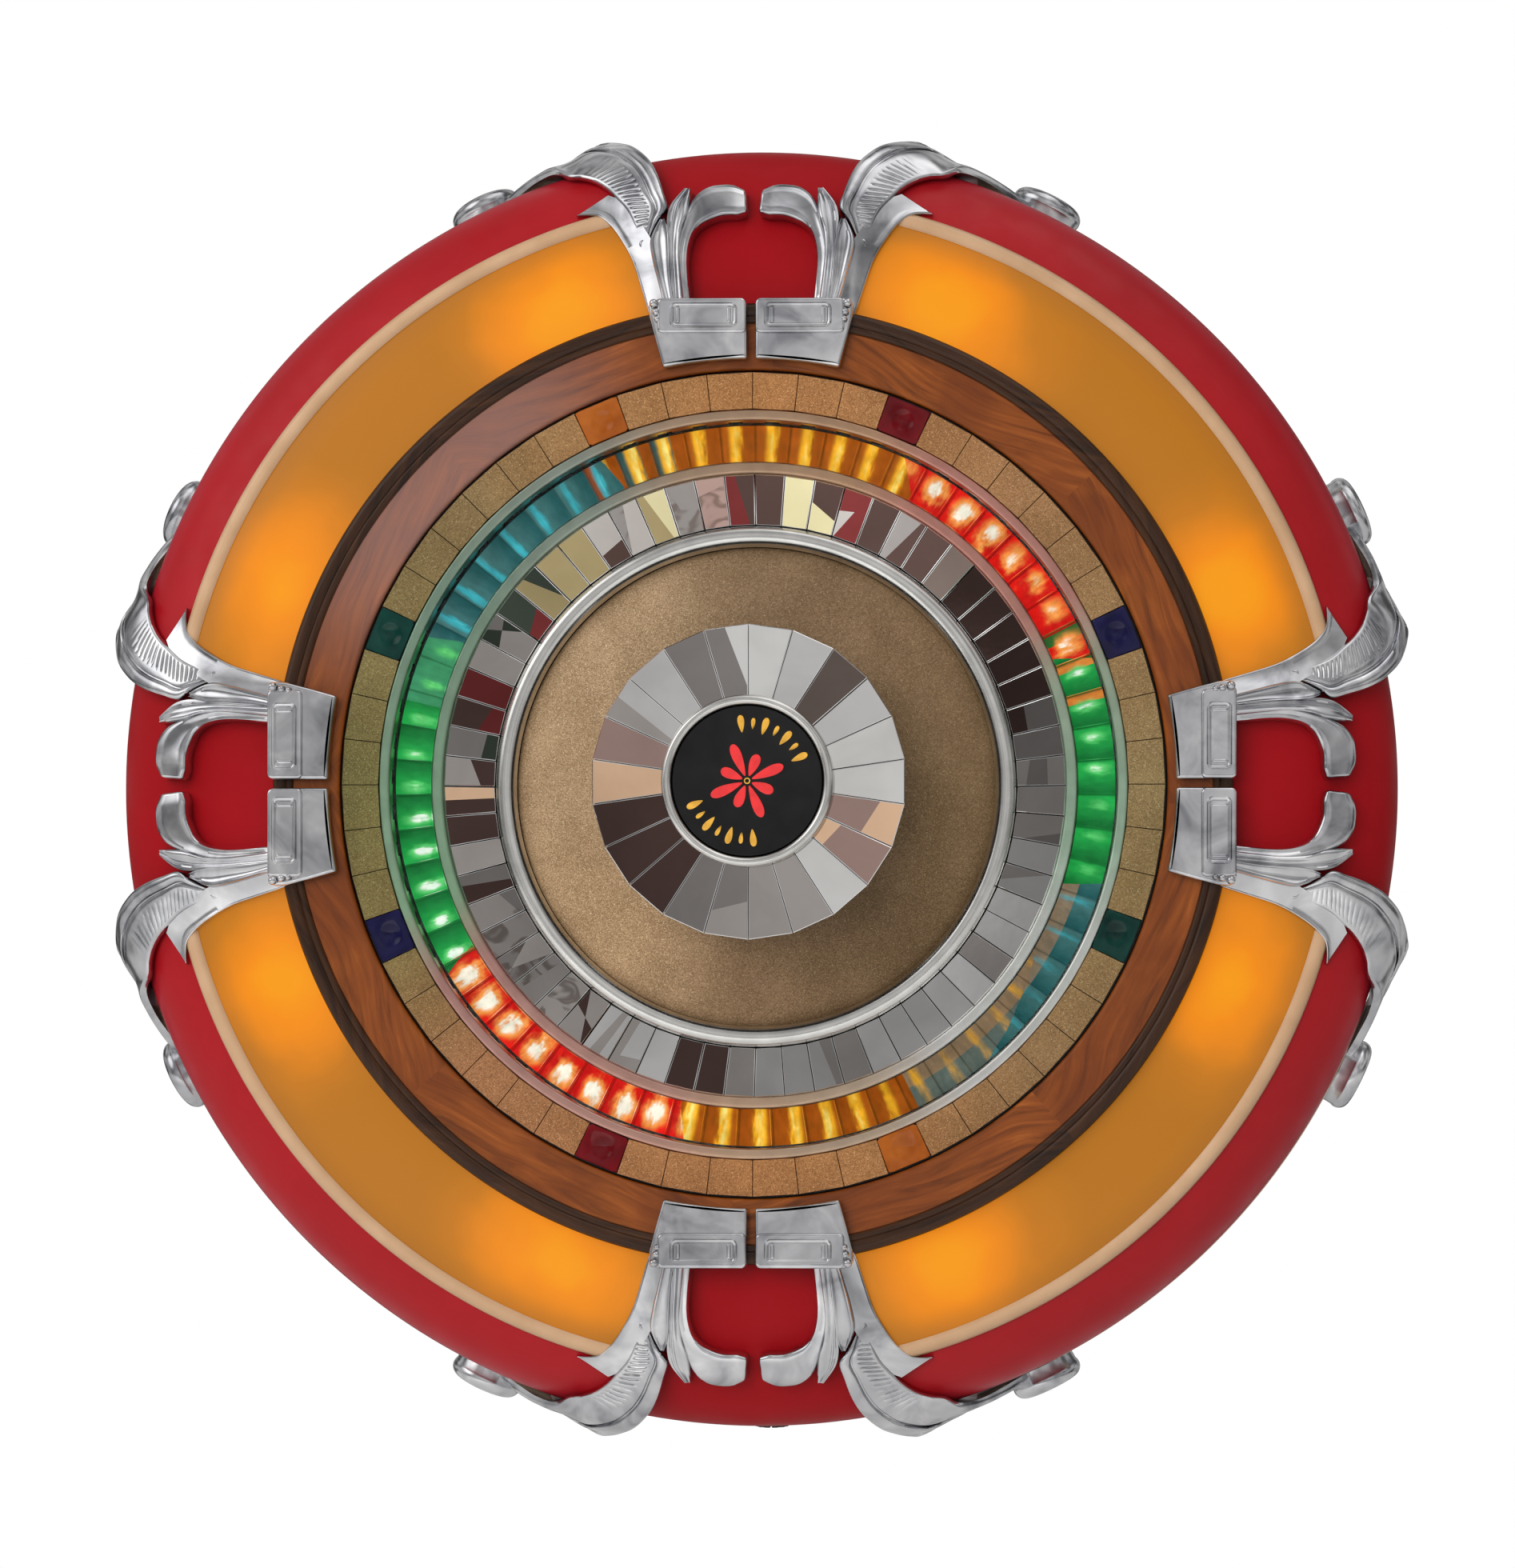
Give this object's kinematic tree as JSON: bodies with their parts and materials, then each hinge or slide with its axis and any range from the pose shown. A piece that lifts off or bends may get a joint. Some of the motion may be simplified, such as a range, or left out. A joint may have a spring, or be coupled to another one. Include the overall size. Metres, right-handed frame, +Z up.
{
  "type": "jukebox wall speaker",
  "caption": "Round wall-hung jukebox loudspeaker with lit amber and red panels, a glass and mirror face, a turning colour wheel and paired polished castings.",
  "frame": {"origin": "on the speaker's axis, in the plane of the wall, at the middle of the four wall screws", "axes": "+Y into the wall, so the front faces -Y; +Z up; +X to the right as seen from the front"},
  "size_m": [0.806, 0.263, 0.814],
  "materials": {
    "red_paint": "gloss red enamel",
    "back_board": "unfinished hardboard",
    "brass_screws": "dull",
    "rail_paint": "satin black",
    "white_board": "painted flat white",
    "floor_sheet": "painted white",
    "baffle_wood": "plain plywood",
    "ring_wood": "stained and varnished",
    "black_board": "painted satin black",
    "gold_glass": "gold flecked, opaque",
    "amber_glass": "polished",
    "red_glass": "polished",
    "blue_glass": "polished",
    "green_glass": "polished",
    "bright_trim": "polished",
    "clear_glass": "pressed, fire polished",
    "mirror_glass": "polished",
    "gold_paint": "gold flecked enamel",
    "cloth": "open weave",
    "medal_black": "gloss black",
    "amber_plastic": "translucent, lit from behind",
    "red_plastic": "satin",
    "cream_plastic": "gloss",
    "strip_plastic": "satin",
    "polished_casting": "polished",
    "steel_screws": "plated",
    "bulb_glass": "frosted",
    "socket_brass": "dull",
    "wheel_metal": "brushed",
    "amber_gel": "clear coloured film",
    "red_gel": "clear coloured film",
    "green_gel": "clear coloured film",
    "teal_gel": "clear coloured film",
    "roller_nylon": "moulded",
    "pin_steel": "turned",
    "motor_paint": "satin grey",
    "tyre_rubber": "matt",
    "basket_paint": "hammered grey",
    "magnet_iron": "rough",
    "cone_paper": "pressed felt paper",
    "surround_cloth": "treated cloth",
    "spider_cloth": "treated cloth",
    "coil_copper": "varnished wire",
    "transformer_iron": "varnished laminations",
    "terminal_bakelite": "moulded",
    "control_plate": "plated",
    "knob_bakelite": "moulded"
  },
  "bodies": {
    "cabinet": {"cabinet_shell": "red_paint", "back_panel": "back_board", "panel_screws": "brass_screws", "hanger_rails": "rail_paint", "outer_drum": "white_board", "inner_drum": "white_board", "light_floor": "floor_sheet", "baffle_board": "baffle_wood", "wood_ring": "ring_wood", "tile_carrier": "black_board", "gold_tiles": "gold_glass", "amber_tiles": "amber_glass", "red_tiles": "red_glass", "blue_tiles": "blue_glass", "green_tiles": "green_glass", "trim_rings": "bright_trim", "glass_blocks": "clear_glass", "mirror_carrier": "black_board", "mirror_tiles": "mirror_glass", "gold_dish": "gold_paint", "grille_cloth": "cloth", "cloth_ring": "back_board", "disc_posts": "bright_trim", "mirror_board": "black_board", "mirror_wedges": "mirror_glass", "medallion_disc": "medal_black", "medallion_ring": "bright_trim", "amber_panels": "amber_plastic", "red_panels": "red_plastic", "cream_beads": "cream_plastic", "edge_strips": "strip_plastic", "castings_top": "polished_casting", "castings_right": "polished_casting", "castings_bottom": "polished_casting", "castings_left": "polished_casting", "casting_screws": "steel_screws", "lamp_bulbs": "bulb_glass", "lamp_sockets": "socket_brass", "roller_pins": "pin_steel", "drive_motor": "motor_paint", "speaker_basket": "basket_paint", "speaker_magnet": "magnet_iron", "speaker_surround": "surround_cloth", "speaker_spider": "spider_cloth", "speaker_bolts": "steel_screws", "lamp_transformer": "transformer_iron", "terminal_block": "terminal_bakelite", "volume_control": "control_plate"},
    "colour_wheel": {"wheel_rim": "wheel_metal", "gel_amber": "amber_gel", "gel_red": "red_gel", "gel_green": "green_gel", "gel_teal": "teal_gel"},
    "drive_wheel": {"drive_wheel": "tyre_rubber"},
    "roller_1": {"roller_1": "roller_nylon"},
    "roller_2": {"roller_2": "roller_nylon"},
    "roller_3": {"roller_3": "roller_nylon"},
    "cone": {"speaker_cone": "cone_paper", "voice_coil": "coil_copper"},
    "volume_knob": {"volume_knob": "knob_bakelite"}
  },
  "joints": [
    {"name": "colour_wheel_spin", "type": "hinge", "parent": "cabinet", "child": "colour_wheel", "pos_m": [0, 0, 0], "axis": [0, 1, 0], "continuous": true},
    {"name": "drive_wheel_spin", "type": "hinge", "parent": "cabinet", "child": "drive_wheel", "pos_m": [0, 0, -0.2433], "axis": [0, 1, 0], "continuous": true},
    {"name": "roller_1_spin", "type": "hinge", "parent": "cabinet", "child": "roller_1", "pos_m": [0, 0, 0.2436], "axis": [0, 1, 0], "continuous": true},
    {"name": "roller_2_spin", "type": "hinge", "parent": "cabinet", "child": "roller_2", "pos_m": [-0.21096, 0, -0.1218], "axis": [0, 1, 0], "continuous": true},
    {"name": "roller_3_spin", "type": "hinge", "parent": "cabinet", "child": "roller_3", "pos_m": [0.21096, 0, -0.1218], "axis": [0, 1, 0], "continuous": true},
    {"name": "cone_travel", "type": "slide", "parent": "cabinet", "child": "cone", "axis": [0, -1, 0], "range_m": [-0.003, 0.003], "stiffness_N_per_m": 2000},
    {"name": "volume_knob_turn", "type": "hinge", "parent": "cabinet", "child": "volume_knob", "pos_m": [0, -0.07, -0.4], "axis": [0, 0, -1], "range_deg": [-150, 150]}
  ],
  "couplings": [
    {"joint": "drive_wheel_spin", "follows": "colour_wheel_spin", "ratio": -20.714},
    {"joint": "roller_1_spin", "follows": "colour_wheel_spin", "ratio": -20.174},
    {"joint": "roller_2_spin", "follows": "colour_wheel_spin", "ratio": -20.174},
    {"joint": "roller_3_spin", "follows": "colour_wheel_spin", "ratio": -20.174}
  ]
}
